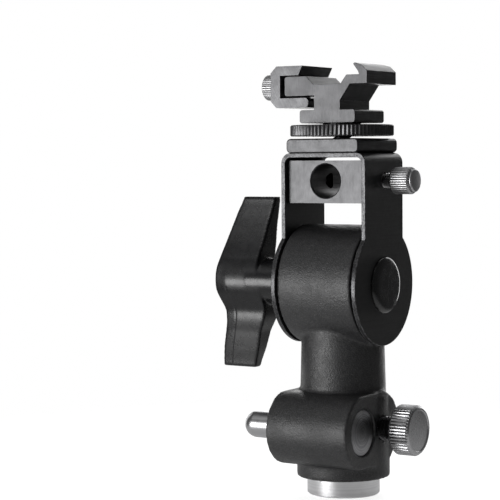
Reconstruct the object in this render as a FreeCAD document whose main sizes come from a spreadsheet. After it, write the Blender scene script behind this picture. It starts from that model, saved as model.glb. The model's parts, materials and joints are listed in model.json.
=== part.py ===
import FreeCAD, Part
import os
import re

import Sketcher
from FreeCAD import Placement, Rotation, Vector

# Umbrella swivel bracket for a 16 mm light-stand spigot. Millimetres. X runs along the tilt axis
# (lever on -X, umbrella lock on +X), -Y is the front and +Z is up. The origin is on the axis of
# the stand socket, at its open mouth.

DRIVING_SIZES = {
    # stand socket and its bush
    "socket_bore_radius": 8.1, "socket_land": 15.5, "socket_relief_radius": 8.35,
    "bush_radius": 12.1, "bush_top": 43, "bush_lip": 6,
    # housing casting
    "skirt_radius": 15.5, "skirt_top": 33, "neck_foot_radius": 14.35, "neck_top_radius": 13.6,
    "pivot_height": 70, "barrel_radius": 19.8, "barrel_half": 13.55,
    "cross_height": 22.8, "cross_half": 15, "cross_radius": 12.1, "lug_back": 0.8,
    # safety catch
    "catch_forward": 13.1, "catch_pin_radius": 4.45, "catch_body_radius": 6.05, "catch_fit": 0.1,
    "catch_reach": 29.7, "catch_stop": 12.6, "catch_collar": 1.3, "waist_end": 2.8,
    "catch_body_end": 3.6, "spring_pocket_radius": 4.2, "spring_pocket_floor": 1.2,
    "plug_radius": 7.65, "plug_inner": 12.4, "plug_outer": 14.5,
    "spring_wire": 0.4, "spring_coil": 3.3, "spring_pitch": 2.4,
    # stand lock screw and knob
    "lock_screw_radius": 4, "lock_screw_tip": 8.5, "lock_knob_radius": 8.3,
    "lock_knob_inner": 20.9, "lock_knob_outer": 28.4, "lock_spigot_radius": 3, "lock_spigot_end": 25,
    # tilt pivot
    "pivot_radius": 4, "running_fit": 0.05, "friction_radius": 18, "washer_play": 0.02,
    "bolt_head_radius": 7.8, "bolt_head_thick": 1, "cap_radius": 9.35, "cap_thick": 1.8,
    "cap_bevel": 0.6, "bolt_end": 30, "lever_washer_radius": 8.6, "lever_washer_thick": 0.8,
    # yoke
    "yoke_half": 15.83, "yoke_thick": 1.5, "yoke_depth": 26, "yoke_rise": 43.5,
    "ear_radius": 20, "yoke_corner": 3.4, "ear_play": 1,
    # umbrella block and its lock screw
    "block_half": 14.3, "block_depth": 22.2, "block_low": 27.05, "block_high": 41, "block_corner": 0.8,
    "umbrella_rise": 34.3, "umbrella_radius": 5.5, "umbrella_bevel": 0.4,
    "cross_screw_back": 1, "umbrella_screw_radius": 2.5, "umbrella_screw_tip": 5.7,
    "umbrella_knob_radius": 4.45, "umbrella_knob_inner": 19.3, "umbrella_knob_outer": 25.9,
    "umbrella_button_radius": 3.75, "umbrella_button_end": 27.1,
    "umbrella_spigot_radius": 1.8, "umbrella_spigot_end": 23, "leg_hole_play": 0.25,
    "block_screw_head": 4.2, "block_screw_head_end": 17.6, "block_screw_end": 8,
    # base plate, stud and lock ring
    "plate_half": 13.55, "plate_top": 48.2, "plate_corner": 2.2, "plate_edge": 0.5,
    "stud_radius": 3.175, "stud_head_radius": 5.6, "stud_top": 61,
    "ring_radius": 17.15, "ring_low": 49, "ring_high": 52.7, "ring_washer_radius": 6.35,
    "shoe_base": 53.3,
    # accessory shoe, heights from its base
    "shoe_depth": 20, "flange_half": 10.4, "flange_top": 4.3, "stem_half": 4.9,
    "left_arm_end": 16.15, "left_arm_low": 9, "arm_top": 15.5, "left_slope_out": 7.9,
    "floor_half": 5.05, "floor_top": 12.7, "right_slope_out": 7.25, "right_arm_low": 12.5,
    "right_knee_out": 8.6, "right_knee_low": 7.3, "lip_foot": 12, "lip_inner_out": 11.6,
    "lip_inner_top": 16.5, "lip_tip_out": 9.8, "lip_tip_top": 18.95, "lip_crest_out": 10.4,
    "lip_crest_top": 19.35, "lip_round_out": 12.9, "lip_round_top": 18.6, "lip_outer": 14.95,
    "lip_outer_top": 16.7, "shoe_round": 0.9, "stud_hole_top": 61.5,
    # clamp jaw and its thumbscrew
    "jaw_outer": 21.6, "jaw_bevel": 2.25, "jaw_top": 19, "jaw_low": 5.2, "jaw_tip_out": 9.3,
    "jaw_hook_out": 10.9, "jaw_slot_top": 15.85, "jaw_slot_low": 8.4, "jaw_wall_inner": 17.9,
    "prong_end": 7.1, "prong_round": 1.3, "jaw_screw_rise": 12.45, "jaw_screw_radius": 2,
    "jaw_screw_tip": 9.3, "jaw_screw_hole_end": 7.6, "jaw_knob_radius": 4.3,
    "jaw_knob_inner": 21.7, "jaw_knob_outer": 28.9, "jaw_spigot_radius": 1.4,
    "jaw_spigot_end": 25.5,
    # T lever, heights from the pivot
    "lever_inner": 16.7, "lever_outer": 46.8, "hub_radius": 7.7, "insert_radius": 6,
    "insert_end": 32, "wing_top": 28.9, "wing_low": 29.8, "wing_top_inner": 24.9,
    "wing_top_outer": 37.8, "wing_root_inner": 31.3, "wing_low_inner": 33.4,
    "wing_low_outer": 46.7, "waist_drop": 12.4, "waist_inner": 28, "waist_outer": 44,
    "wing_root_half": 7.2, "wing_tip_half": 1.9, "waist_half": 4,
}

doc = FreeCAD.newDocument("umbrella_swivel_bracket")
sheet = doc.addObject("Spreadsheet::Sheet", "Sizes")
for row, (alias, size) in enumerate(DRIVING_SIZES.items(), start=1):
    sheet.set(f"A{row}", alias)
    sheet.set(f"B{row}", str(size))
    sheet.setAlias(f"B{row}", alias)
doc.recompute()

ALONG_AXIS = {
    "X": Rotation(Vector(0, 1, 0), 90),
    "Y": Rotation(Vector(1, 0, 0), -90),
    "Z": Rotation(),
}


def in_sheet(text):
    """Turn sizes named in plain words into references to the sheet's cells."""
    def cell(match):
        word = match.group(0)
        return f"Sizes.{word}" if word in DRIVING_SIZES else word
    return re.sub(r"[a-z_]+", cell, text)


def value(text):
    """The number that an expression gives now."""
    return float(sheet.evalExpression(in_sheet(text)))


def bind(item, **sizes):
    for name, text in sizes.items():
        item.setExpression(name.replace("__", "."), in_sheet(text))
    return item


def add(kind, label):
    item = doc.addObject(kind, label)
    item.Label = label
    return item


def place(item, axis, start, centre):
    """Stand a primitive along an axis from start, with its centre line at the two other ordinates."""
    item.Placement = Placement(Vector(), ALONG_AXIS[axis])
    others = [name for name in "XYZ" if name != axis]
    spots = {axis: start, others[0]: centre[0], others[1]: centre[1]}
    bind(item, **{f"Placement__Base__{name.lower()}": text for name, text in spots.items()})
    return item


def rod(label, radius, start, end, axis="X", centre=("0", "0")):
    item = bind(add("Part::Cylinder", label), Radius=radius, Height=f"({end}) - ({start})")
    return place(item, axis, start, centre)


def taper(label, first_radius, last_radius, start, end, axis="Z", centre=("0", "0")):
    item = add("Part::Cone", label)
    bind(item, Radius1=first_radius, Radius2=last_radius, Height=f"({end}) - ({start})")
    return place(item, axis, start, centre)


def ball(label, radius, spot):
    item = bind(add("Part::Sphere", label), Radius=radius)
    return place(item, "X", spot[0], spot[1:])


def block(label, low, high):
    item = add("Part::Box", label)
    bind(item, **{side: f"({top}) - ({foot})"
                  for side, foot, top in zip(("Length", "Width", "Height"), low, high)})
    return place(item, "Z", low[2], low[:2])


def fuse(label, *shapes):
    item = add("Part::MultiFuse", label)
    item.Shapes = list(shapes)
    item.Refine = True
    return item


def cut(label, base, *tools):
    tool = tools[0]
    if len(tools) > 1:
        tool = fuse(f"{label}_cutters", *tools)
    item = add("Part::Cut", label)
    item.Base, item.Tool = base, tool
    return item


def common(label, *shapes):
    item = add("Part::MultiCommon", label)
    item.Shapes = list(shapes)
    return item


def outline_pad(label, plane_role, corners, length):
    """A body padded both ways from one of its origin planes, from a closed outline of corners."""
    body = add("PartDesign::Body", label)
    plane = next(item for item in body.Origin.OriginFeatures if item.Role == plane_role)
    sketch = body.newObject("Sketcher::SketchObject", f"{label}_outline")
    sketch.AttachmentSupport = [(plane, "")]
    sketch.MapMode = "FlatFace"
    spots = [Vector(value(across), value(up), 0) for across, up in corners]
    count = len(spots)
    for index, spot in enumerate(spots):
        sketch.addGeometry(Part.LineSegment(spot, spots[(index + 1) % count]), False)
    for index, (across, up) in enumerate(corners):
        sketch.addConstraint(Sketcher.Constraint("Coincident", index, 2, (index + 1) % count, 1))
        for kind, text, size in (("X", across, spots[index].x), ("Y", up, spots[index].y)):
            number = sketch.addConstraint(Sketcher.Constraint(f"Distance{kind}", -1, 1, index, 1, size))
            sketch.setExpression(f"Constraints[{number}]", in_sheet(text))
    pad = body.newObject("PartDesign::Pad", f"{label}_pad")
    pad.Profile = sketch
    pad.SideType = "Symmetric"
    bind(pad, Length=length)
    doc.recompute()
    return body


def edges_at(feature, along, spots):
    """Names of the straight edges that run along an axis through the given places."""
    names = []
    others = [name for name in "xyz" if name != along]
    for number, edge in enumerate(feature.Shape.Edges, start=1):
        run = edge.lastVertex().Point - edge.firstVertex().Point
        if run.Length < 1e-6 or abs(abs(getattr(run, along)) - edge.Length) > 1e-6:
            continue
        place_now = [getattr(edge.firstVertex().Point, name) for name in others]
        if any(max(abs(place_now[0] - value(a)), abs(place_now[1] - value(b))) < 1e-3 for a, b in spots):
            names.append(f"Edge{number}")
    return names


def round_edges(body, along, spots, radius):
    before = body.Tip
    fillet = body.newObject("PartDesign::Fillet", f"{body.Label}_round_{len(body.Group)}")
    fillet.Base = (before, edges_at(before, along, spots))
    bind(fillet, Radius=radius)
    body.Tip = fillet
    doc.recompute()
    return body


parts = []


def keep(item):
    parts.append(item)
    return item


CROSS = ("0", "cross_height")
CATCH = ("-catch_forward", "cross_height")
PIVOT = ("0", "pivot_height")
UMBRELLA_SCREW = ("cross_screw_back", "pivot_height + umbrella_rise")


def housing():
    skirt = rod("skirt", "skirt_radius", "bush_lip", "skirt_top", "Z")
    neck = taper("neck", "neck_foot_radius", "neck_top_radius", "skirt_top", "pivot_height - barrel_radius / 2")
    barrel = rod("barrel", "barrel_radius", "-barrel_half", "barrel_half", "X", PIVOT)
    nose = rod("catch_nose", "cross_radius", "-cross_half", "cross_half", "X", CATCH)
    lug = rod("lock_lug", "cross_radius", "-cross_half", "cross_half", "X", ("-lug_back", "cross_height"))
    waist = block("cross_waist", ("-cross_half", "-catch_forward", "cross_height - cross_radius"),
                  ("cross_half", "-lug_back", "cross_height + cross_radius"))
    raw = fuse("raw_casting", skirt, neck, barrel, nose, lug, waist)
    ear_room = "pivot_height - ear_radius - ear_play"
    flats = [
        block("left_ear_flat", ("-barrel_radius", "-barrel_radius", ear_room),
              ("-barrel_half", "barrel_radius", "pivot_height")),
        block("right_ear_flat", ("barrel_half", "-barrel_radius", ear_room),
              ("barrel_radius", "barrel_radius", "pivot_height"))]
    return keep(cut(
        "housing_casting", raw, *flats,
        rod("bush_seat", "bush_radius", "-1", "bush_top", "Z"),
        rod("catch_pin_hole", "catch_pin_radius + catch_fit", "-cross_half - 1", "0", "X", CATCH),
        rod("catch_chamber", "catch_body_radius + catch_fit", "-catch_stop", "cross_half + 1", "X", CATCH),
        rod("plug_seat", "plug_radius", "plug_inner", "cross_half + 1", "X", CATCH),
        rod("lock_screw_hole", "lock_screw_radius + running_fit", "0", "cross_half + 1", "X", CROSS),
        rod("pivot_bore", "pivot_radius + running_fit", "-barrel_radius", "barrel_radius", "X", PIVOT)))


def socket_bush():
    keep(cut(
        "socket_bush", rod("bush_bar", "bush_radius", "0", "bush_top", "Z"),
        rod("socket_bore", "socket_bore_radius", "-1", "bush_top + 1", "Z"),
        rod("socket_relief", "socket_relief_radius", "socket_land", "bush_top + 1", "Z"),
        rod("bush_catch_window", "catch_body_radius + catch_fit", "-bush_radius", "bush_radius", "X", CATCH),
        rod("bush_lock_window", "lock_screw_radius + running_fit", "0", "bush_radius + 1", "X", CROSS)))


def safety_catch():
    solid = fuse(
        "catch_bar",
        ball("catch_nose_ball", "catch_pin_radius", ("catch_pin_radius - catch_reach",) + CATCH),
        rod("catch_pin", "catch_pin_radius", "catch_pin_radius - catch_reach", "0", "X", CATCH),
        rod("catch_stop_collar", "catch_body_radius", "catch_fit - catch_stop",
            "catch_fit - catch_stop + catch_collar", "X", CATCH),
        rod("catch_body", "catch_body_radius", "-waist_end", "catch_body_end", "X", CATCH))
    keep(cut("catch_plunger", solid,
             rod("spring_pocket", "spring_pocket_radius", "-spring_pocket_floor", "catch_body_end + 1", "X", CATCH)))
    keep(rod("catch_plug", "plug_radius", "plug_inner", "plug_outer", "X", CATCH))


def catch_spring():
    """Round-wire compression spring between the plunger's pocket and the plug."""
    coil = add("Part::Helix", "spring_line")
    bind(coil, Pitch="spring_pitch", Radius="spring_coil",
         Height="plug_inner + spring_pocket_floor - 2 * spring_wire - 4 * washer_play")
    place(coil, "X", "spring_wire + 2 * washer_play - spring_pocket_floor", CATCH)
    wire = bind(add("Part::Circle", "spring_section"), Radius="spring_wire")
    wire.Placement = Placement(Vector(), Rotation(Vector(1, 0, 0), 90))
    doc.recompute()
    start = coil.Shape.Vertexes[0].Point
    wire.Placement = Placement(start, Rotation(Vector(0, 0, 1), coil.Shape.Edges[0].tangentAt(
        coil.Shape.Edges[0].FirstParameter)))
    spring = keep(add("Part::Sweep", "catch_spring"))
    spring.Sections = [wire]
    spring.Spine = (coil, [f"Edge{index + 1}" for index in range(len(coil.Shape.Edges))])
    spring.Solid = True
    spring.Frenet = True


def stand_lock():
    keep(fuse(
        "lock_screw",
        rod("lock_thread", "lock_screw_radius", "lock_screw_tip", "lock_knob_inner", "X", CROSS),
        rod("lock_spigot", "lock_spigot_radius", "lock_screw_tip", "lock_spigot_end", "X", CROSS)))
    keep(cut(
        "lock_knob", rod("lock_knob_bar", "lock_knob_radius", "lock_knob_inner", "lock_knob_outer", "X", CROSS),
        rod("lock_knob_bore", "lock_spigot_radius + running_fit", "lock_knob_inner - 1",
            "lock_spigot_end + running_fit", "X", CROSS)))


def tilt_pivot():
    bore = rod("friction_bore", "pivot_radius + running_fit", "-yoke_half", "yoke_half", "X", PIVOT)
    for side, sign in (("left", "-"), ("right", "")):
        near, far = "barrel_half + washer_play", "yoke_half - yoke_thick - washer_play"
        if sign:
            near, far = f"-({far})", f"-({near})"
        disc = rod(f"friction_disc_{side}", "friction_radius", near, far, "X", PIVOT)
        keep(cut(f"friction_washer_{side}", disc, bore))
    keep(fuse(
        "pivot_bolt",
        rod("pivot_shank", "pivot_radius", "-bolt_end", "yoke_half", "X", PIVOT),
        rod("pivot_head", "bolt_head_radius", "yoke_half", "yoke_half + bolt_head_thick", "X", PIVOT)))
    cap = fuse(
        "cap_shell",
        rod("cap_rim", "cap_radius", "yoke_half", "yoke_half + cap_thick - cap_bevel", "X", PIVOT),
        taper("cap_crown", "cap_radius", "cap_radius - 2 * cap_bevel", "yoke_half + cap_thick - cap_bevel",
              "yoke_half + cap_thick", "X", PIVOT))
    keep(cut("pivot_cap", cap,
             rod("cap_hollow", "bolt_head_radius + running_fit", "yoke_half - 1",
                 "yoke_half + bolt_head_thick + running_fit", "X", PIVOT)))
    keep(cut("lever_washer",
             rod("lever_washer_disc", "lever_washer_radius", "-yoke_half - lever_washer_thick", "-yoke_half",
                 "X", PIVOT),
             rod("lever_washer_bore", "pivot_radius + running_fit", "-lever_outer", "0", "X", PIVOT)))


def yoke():
    """A strip bent into an inverted U, with round ears about the pivot."""
    top = "pivot_height + yoke_rise"
    arch = outline_pad("yoke_arch", "XZ_Plane", [
        ("-yoke_half", "pivot_height - ear_radius - 1"), ("-yoke_half", top), ("yoke_half", top),
        ("yoke_half", "pivot_height - ear_radius - 1")], "3 * ear_radius")
    round_edges(arch, "y", [("-yoke_half", top), ("yoke_half", top)], "yoke_corner")
    inside_half, inside_top = "yoke_half - yoke_thick", "pivot_height + yoke_rise - yoke_thick"
    window = outline_pad("yoke_window", "XZ_Plane", [
        (f"-({inside_half})", "pivot_height - 2 * ear_radius"), (f"-({inside_half})", inside_top),
        (inside_half, inside_top), (inside_half, "pivot_height - 2 * ear_radius")], "4 * ear_radius")
    round_edges(window, "y", [(f"-({inside_half})", inside_top), (inside_half, inside_top)],
                "yoke_corner - yoke_thick")
    side = fuse(
        "yoke_side",
        block("yoke_strip", ("-yoke_half", "-yoke_depth / 2", "pivot_height"), ("yoke_half", "yoke_depth / 2", top)),
        rod("yoke_ears", "ear_radius", "-yoke_half", "yoke_half", "X", PIVOT))
    keep(cut(
        "yoke_bracket", common("yoke_blank", arch, side), window,
        rod("ear_bore", "pivot_radius + running_fit", "-2 * yoke_half", "2 * yoke_half", "X", PIVOT),
        rod("leg_screw_hole", "umbrella_screw_radius + leg_hole_play", "-2 * yoke_half", "2 * yoke_half", "X",
            UMBRELLA_SCREW),
        stud_countersink("yoke_countersink")))


def stud_countersink(label):
    """The cone under the stud's flat head, which starts flush with the yoke's underside."""
    start = "pivot_height + yoke_rise - yoke_thick"
    return taper(label, "stud_head_radius", "stud_radius", start, f"{start} + stud_head_radius - stud_radius")


def umbrella_block():
    low, high = "pivot_height + block_low", "pivot_height + block_high"
    bar = outline_pad("block_bar", "XZ_Plane", [
        ("-block_half", low), ("block_half", low), ("block_half", high), ("-block_half", high)], "block_depth")
    round_edges(bar, "y", [("-block_half", high), ("block_half", high)], "block_corner")
    hole = ("0", "pivot_height + umbrella_rise")
    mouths = [
        taper("umbrella_mouth_front", "umbrella_radius + umbrella_bevel", "umbrella_radius", "-block_depth / 2",
              "umbrella_bevel - block_depth / 2", "Y", hole),
        taper("umbrella_mouth_back", "umbrella_radius", "umbrella_radius + umbrella_bevel",
              "block_depth / 2 - umbrella_bevel", "block_depth / 2", "Y", hole)]
    keep(cut(
        "umbrella_block", bar,
        rod("umbrella_bore", "umbrella_radius", "-block_depth", "block_depth", "Y", hole), *mouths,
        rod("block_cross_hole", "umbrella_screw_radius + running_fit", "-yoke_half", "yoke_half", "X",
            UMBRELLA_SCREW)))
    keep(fuse(
        "block_screw",
        rod("block_screw_thread", "umbrella_screw_radius", "-yoke_half", "-block_screw_end", "X", UMBRELLA_SCREW),
        rod("block_screw_button", "block_screw_head", "-block_screw_head_end", "-yoke_half", "X",
            UMBRELLA_SCREW)))


def umbrella_lock():
    keep(fuse(
        "umbrella_screw",
        rod("umbrella_thread", "umbrella_screw_radius", "umbrella_screw_tip", "umbrella_knob_inner", "X",
            UMBRELLA_SCREW),
        rod("umbrella_spigot", "umbrella_spigot_radius", "umbrella_screw_tip", "umbrella_spigot_end", "X",
            UMBRELLA_SCREW)))
    knob = fuse(
        "umbrella_knob_bar",
        rod("umbrella_grip", "umbrella_knob_radius", "umbrella_knob_inner", "umbrella_knob_outer", "X",
            UMBRELLA_SCREW),
        rod("umbrella_button", "umbrella_button_radius", "umbrella_knob_inner", "umbrella_button_end", "X",
            UMBRELLA_SCREW))
    keep(cut("umbrella_knob", knob,
             rod("umbrella_knob_bore", "umbrella_spigot_radius + running_fit", "umbrella_knob_inner - 1",
                 "umbrella_spigot_end + running_fit", "X", UMBRELLA_SCREW)))


def base_plate():
    low, high = "pivot_height + yoke_rise", "pivot_height + plate_top"
    plate = outline_pad("plate_square", "YZ_Plane", [
        ("-plate_half", low), ("plate_half", low), ("plate_half", high), ("-plate_half", high)],
        "2 * plate_half")
    sides = ("-plate_half", "plate_half")
    round_edges(plate, "z", [(x, y) for x in sides for y in sides], "plate_corner")
    before = plate.Tip
    rims = plate.newObject("PartDesign::Fillet", "plate_rims")
    rims.Base = (before, [
        f"Edge{number}" for number, edge in enumerate(before.Shape.Edges, start=1)
        if edge.BoundBox.ZLength < 1e-6])
    bind(rims, Radius="plate_edge")
    plate.Tip = rims
    keep(cut(
        "base_plate", plate, stud_countersink("plate_countersink"),
        rod("plate_bore", "stud_radius + running_fit", "pivot_height", "pivot_height + stud_top", "Z")))
    keep(fuse(
        "shoe_stud", stud_countersink("stud_head"),
        rod("stud_thread", "stud_radius", "pivot_height + yoke_rise - yoke_thick", "pivot_height + stud_top",
            "Z")))


def lock_ring():
    bore = rod("ring_bore", "stud_radius + running_fit", "pivot_height", "pivot_height + stud_top", "Z")
    ring = rod("ring_disc", "ring_radius", "pivot_height + ring_low", "pivot_height + ring_high", "Z")
    washer = rod("ring_washer_disc", "ring_washer_radius", "pivot_height + ring_high",
                 "pivot_height + shoe_base", "Z")
    keep(cut("knurled_ring", ring, bore))
    keep(cut("ring_washer", washer, bore))


def from_shoe_base(corners):
    return [(across, f"pivot_height + shoe_base + {up}") for across, up in corners]


JAW_SCREW = ("0", "pivot_height + shoe_base + jaw_screw_rise")


def shoe_body():
    """Extruded rail: flange, stem, a plain left arm, a trough and a hooked right arm."""
    corners = from_shoe_base([
        ("-flange_half", "0"), ("flange_half", "0"), ("flange_half", "flange_top"), ("stem_half", "flange_top"),
        ("stem_half", "right_knee_low"), ("right_knee_out", "right_arm_low"), ("lip_outer", "right_arm_low"),
        ("lip_outer", "lip_outer_top"), ("lip_round_out", "lip_round_top"), ("lip_crest_out", "lip_crest_top"),
        ("lip_tip_out", "lip_tip_top"), ("lip_inner_out", "lip_inner_top"), ("lip_foot", "arm_top"),
        ("right_slope_out", "arm_top"), ("floor_half", "floor_top"), ("-floor_half", "floor_top"),
        ("-left_slope_out", "arm_top"), ("-left_arm_end", "arm_top"), ("-left_arm_end", "left_arm_low"),
        ("-stem_half", "left_arm_low"), ("-stem_half", "flange_top"), ("-flange_half", "flange_top")])
    rail = outline_pad("shoe_rail", "XZ_Plane", corners, "shoe_depth")
    round_edges(rail, "y", [corners[index] for index in (0, 1, 2, 17, 18, 21)], "shoe_round")
    keep(cut(
        "shoe_body", rail,
        rod("shoe_stud_hole", "stud_radius + running_fit", "pivot_height", "pivot_height + stud_hole_top", "Z"),
        rod("shoe_jaw_hole", "jaw_screw_radius + running_fit", "-jaw_outer", "-jaw_screw_hole_end", "X",
            JAW_SCREW)))


def clamp_jaw():
    """C-shaped jaw that wraps the left arm and hooks over it."""
    corners = from_shoe_base([
        ("-jaw_outer", "jaw_low + jaw_bevel"), ("jaw_bevel - jaw_outer", "jaw_low"),
        ("-prong_end", "jaw_low"), ("-prong_end", "jaw_slot_low"), ("-jaw_wall_inner", "jaw_slot_low"),
        ("-jaw_wall_inner", "jaw_slot_top"), ("-jaw_hook_out", "jaw_slot_top"), ("-jaw_tip_out", "jaw_top"),
        ("jaw_bevel - jaw_outer", "jaw_top"), ("-jaw_outer", "jaw_top - jaw_bevel")])
    jaw = outline_pad("jaw_rail", "XZ_Plane", corners, "shoe_depth")
    round_edges(jaw, "y", [corners[2], corners[3]], "prong_round")
    keep(cut("clamp_jaw", jaw,
             rod("jaw_hole", "jaw_screw_radius + 2 * running_fit", "-jaw_outer - 1", "-jaw_wall_inner + 1", "X",
                 JAW_SCREW)))
    keep(fuse(
        "jaw_screw",
        rod("jaw_thread", "jaw_screw_radius", "-jaw_knob_inner", "-jaw_screw_tip", "X", JAW_SCREW),
        rod("jaw_spigot", "jaw_spigot_radius", "-jaw_spigot_end", "-jaw_screw_tip", "X", JAW_SCREW)))
    keep(cut("jaw_knob",
             rod("jaw_knob_bar", "jaw_knob_radius", "-jaw_knob_outer", "-jaw_knob_inner", "X", JAW_SCREW),
             rod("jaw_knob_bore", "jaw_spigot_radius", "-jaw_spigot_end", "0", "X", JAW_SCREW)))


def from_pivot(corners):
    return [(across, f"pivot_height + {up}") for across, up in corners]


def lever():
    """T lever: a round hub with an upper and a lower wing that thin towards their tips."""
    front = outline_pad("lever_front", "XZ_Plane", from_pivot([
        ("-wing_root_inner", "hub_radius"), ("-wing_top_inner", "wing_top"), ("-wing_top_outer", "wing_top"),
        ("-lever_outer", "hub_radius / 4"), ("-lever_outer", "-hub_radius / 2"), ("-waist_outer", "-waist_drop"),
        ("-wing_low_outer", "-wing_low"), ("-wing_low_inner", "-wing_low"), ("-waist_inner", "-waist_drop"),
        ("-waist_inner", "-hub_radius / 2")]), "4 * hub_radius")
    side = outline_pad("lever_side", "YZ_Plane", from_pivot([
        ("-wing_root_half", "0"), ("-waist_half", "-waist_drop"), ("-wing_tip_half", "-wing_low"),
        ("wing_tip_half", "-wing_low"), ("waist_half", "-waist_drop"), ("wing_root_half", "0"),
        ("wing_tip_half", "wing_top"), ("-wing_tip_half", "wing_top")]), "3 * lever_outer")
    solid = fuse("lever_solid", common("lever_wings", front, side),
                 rod("lever_hub", "hub_radius", "-lever_outer", "-lever_inner", "X", PIVOT))
    keep(cut("lever_handle", solid, rod("insert_seat", "insert_radius", "-insert_end", "0", "X", PIVOT)))
    keep(cut("lever_insert", rod("insert_bar", "insert_radius", "-insert_end", "-lever_inner", "X", PIVOT),
             rod("insert_thread", "pivot_radius + running_fit", "-lever_outer", "0", "X", PIVOT)))


def export_parts():
    doc.recompute()
    for item in doc.Objects:
        if {"Invalid", "Error"} & set(item.State):
            raise SystemExit(f"{item.Label}: {item.State}")
    os.makedirs("parts", exist_ok=True)
    for item in parts:
        shape = item.Shape
        if shape.isNull() or not shape.isValid() or not shape.Solids:
            raise SystemExit(f"{item.Label}: no valid solid")
        shape.exportStep(f"parts/{item.Label}.step")
        print(f"{item.Label}: {len(shape.Solids)} solid, {shape.Volume:.1f} mm3")


housing()
socket_bush()
safety_catch()
catch_spring()
stand_lock()
tilt_pivot()
yoke()
umbrella_block()
umbrella_lock()
base_plate()
lock_ring()
shoe_body()
clamp_jaw()
lever()
export_parts()
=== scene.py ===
import json
import math

import bmesh
import bpy
from mathutils import Matrix, Vector

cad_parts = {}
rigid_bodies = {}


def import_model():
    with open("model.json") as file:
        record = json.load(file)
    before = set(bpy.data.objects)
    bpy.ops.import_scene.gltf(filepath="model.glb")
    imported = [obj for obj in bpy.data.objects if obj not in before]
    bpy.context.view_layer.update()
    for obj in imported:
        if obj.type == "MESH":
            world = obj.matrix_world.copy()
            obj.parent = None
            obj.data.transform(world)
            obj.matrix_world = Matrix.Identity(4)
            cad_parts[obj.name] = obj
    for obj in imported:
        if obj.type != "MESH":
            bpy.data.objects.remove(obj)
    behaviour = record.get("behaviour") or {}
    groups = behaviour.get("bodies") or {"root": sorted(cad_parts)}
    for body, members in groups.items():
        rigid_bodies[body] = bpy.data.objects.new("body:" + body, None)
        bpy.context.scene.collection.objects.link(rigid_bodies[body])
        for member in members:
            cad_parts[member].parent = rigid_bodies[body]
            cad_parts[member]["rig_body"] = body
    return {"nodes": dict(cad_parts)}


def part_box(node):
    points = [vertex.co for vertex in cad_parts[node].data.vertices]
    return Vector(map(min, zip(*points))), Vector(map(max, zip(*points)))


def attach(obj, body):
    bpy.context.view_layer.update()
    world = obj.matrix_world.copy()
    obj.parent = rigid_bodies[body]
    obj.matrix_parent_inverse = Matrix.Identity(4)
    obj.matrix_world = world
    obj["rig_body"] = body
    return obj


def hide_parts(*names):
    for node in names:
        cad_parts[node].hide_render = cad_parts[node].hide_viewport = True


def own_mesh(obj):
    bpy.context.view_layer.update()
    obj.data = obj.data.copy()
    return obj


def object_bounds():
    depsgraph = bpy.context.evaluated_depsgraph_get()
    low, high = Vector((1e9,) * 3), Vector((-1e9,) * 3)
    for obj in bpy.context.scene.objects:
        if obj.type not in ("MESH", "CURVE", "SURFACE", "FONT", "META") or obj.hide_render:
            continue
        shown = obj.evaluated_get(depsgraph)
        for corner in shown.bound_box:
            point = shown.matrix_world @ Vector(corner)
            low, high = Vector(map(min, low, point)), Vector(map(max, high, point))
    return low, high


# Looks of the umbrella swivel bracket. New pieces are modelled in millimetres, in the part's own
# frame: X along the tilt axis, -Y the front, +Z up, the stand socket's mouth at the origin.

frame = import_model()
cad_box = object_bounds()
nodes = frame["nodes"]

MM = 0.001
LAID_ALONG = {
    "X": Matrix.Rotation(math.radians(90), 4, "Y"),
    "Y": Matrix.Rotation(math.radians(-90), 4, "X"),
    "Z": Matrix.Identity(4),
}


# ---------------------------------------------------------------- shader helpers

def feed(tree, socket, value):
    """Link a socket to another one, or set it to a plain value."""
    if isinstance(value, bpy.types.NodeSocket):
        tree.links.new(value, socket)
    else:
        socket.default_value = value


def add_node(tree, kind, settings=None, **inputs):
    """A shader node with its settings, and its inputs by name with underscores for spaces."""
    made = tree.nodes.new("ShaderNode" + kind)
    for name, value in (settings or {}).items():
        setattr(made, name, value)
    for name, value in inputs.items():
        feed(tree, made.inputs[name.replace("_", " ")], value)
    return made


def calc(tree, operation, *values, clamp=False):
    made = add_node(tree, "Math", {"operation": operation, "use_clamp": clamp})
    for socket, value in zip(made.inputs, values):
        feed(tree, socket, value)
    return made.outputs[0]


def remap(tree, value, low, high, to_low=0.0, to_high=1.0):
    made = add_node(tree, "MapRange", {"interpolation_type": "SMOOTHSTEP"}, Value=value, From_Min=low,
                    From_Max=high, To_Min=to_low, To_Max=to_high)
    return made.outputs["Result"]


def noise(tree, vector, scale, detail=2.0, roughness=0.5):
    made = add_node(tree, "TexNoise", None, Vector=vector, Scale=scale, Detail=detail, Roughness=roughness)
    return made.outputs["Fac"]


def new_group(name, inputs, outputs):
    """A shader node group with plain float settings, a Vector to work on and float outputs."""
    tree = bpy.data.node_groups.new(name, "ShaderNodeTree")
    tree.interface.new_socket("Vector", in_out="INPUT", socket_type="NodeSocketVector")
    for label, default in inputs.items():
        setting = tree.interface.new_socket(label, in_out="INPUT", socket_type="NodeSocketFloat")
        setting.default_value = default
    for label in outputs:
        tree.interface.new_socket(label, in_out="OUTPUT", socket_type="NodeSocketFloat")
    return tree, tree.nodes.new("NodeGroupInput").outputs, tree.nodes.new("NodeGroupOutput").inputs


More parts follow.
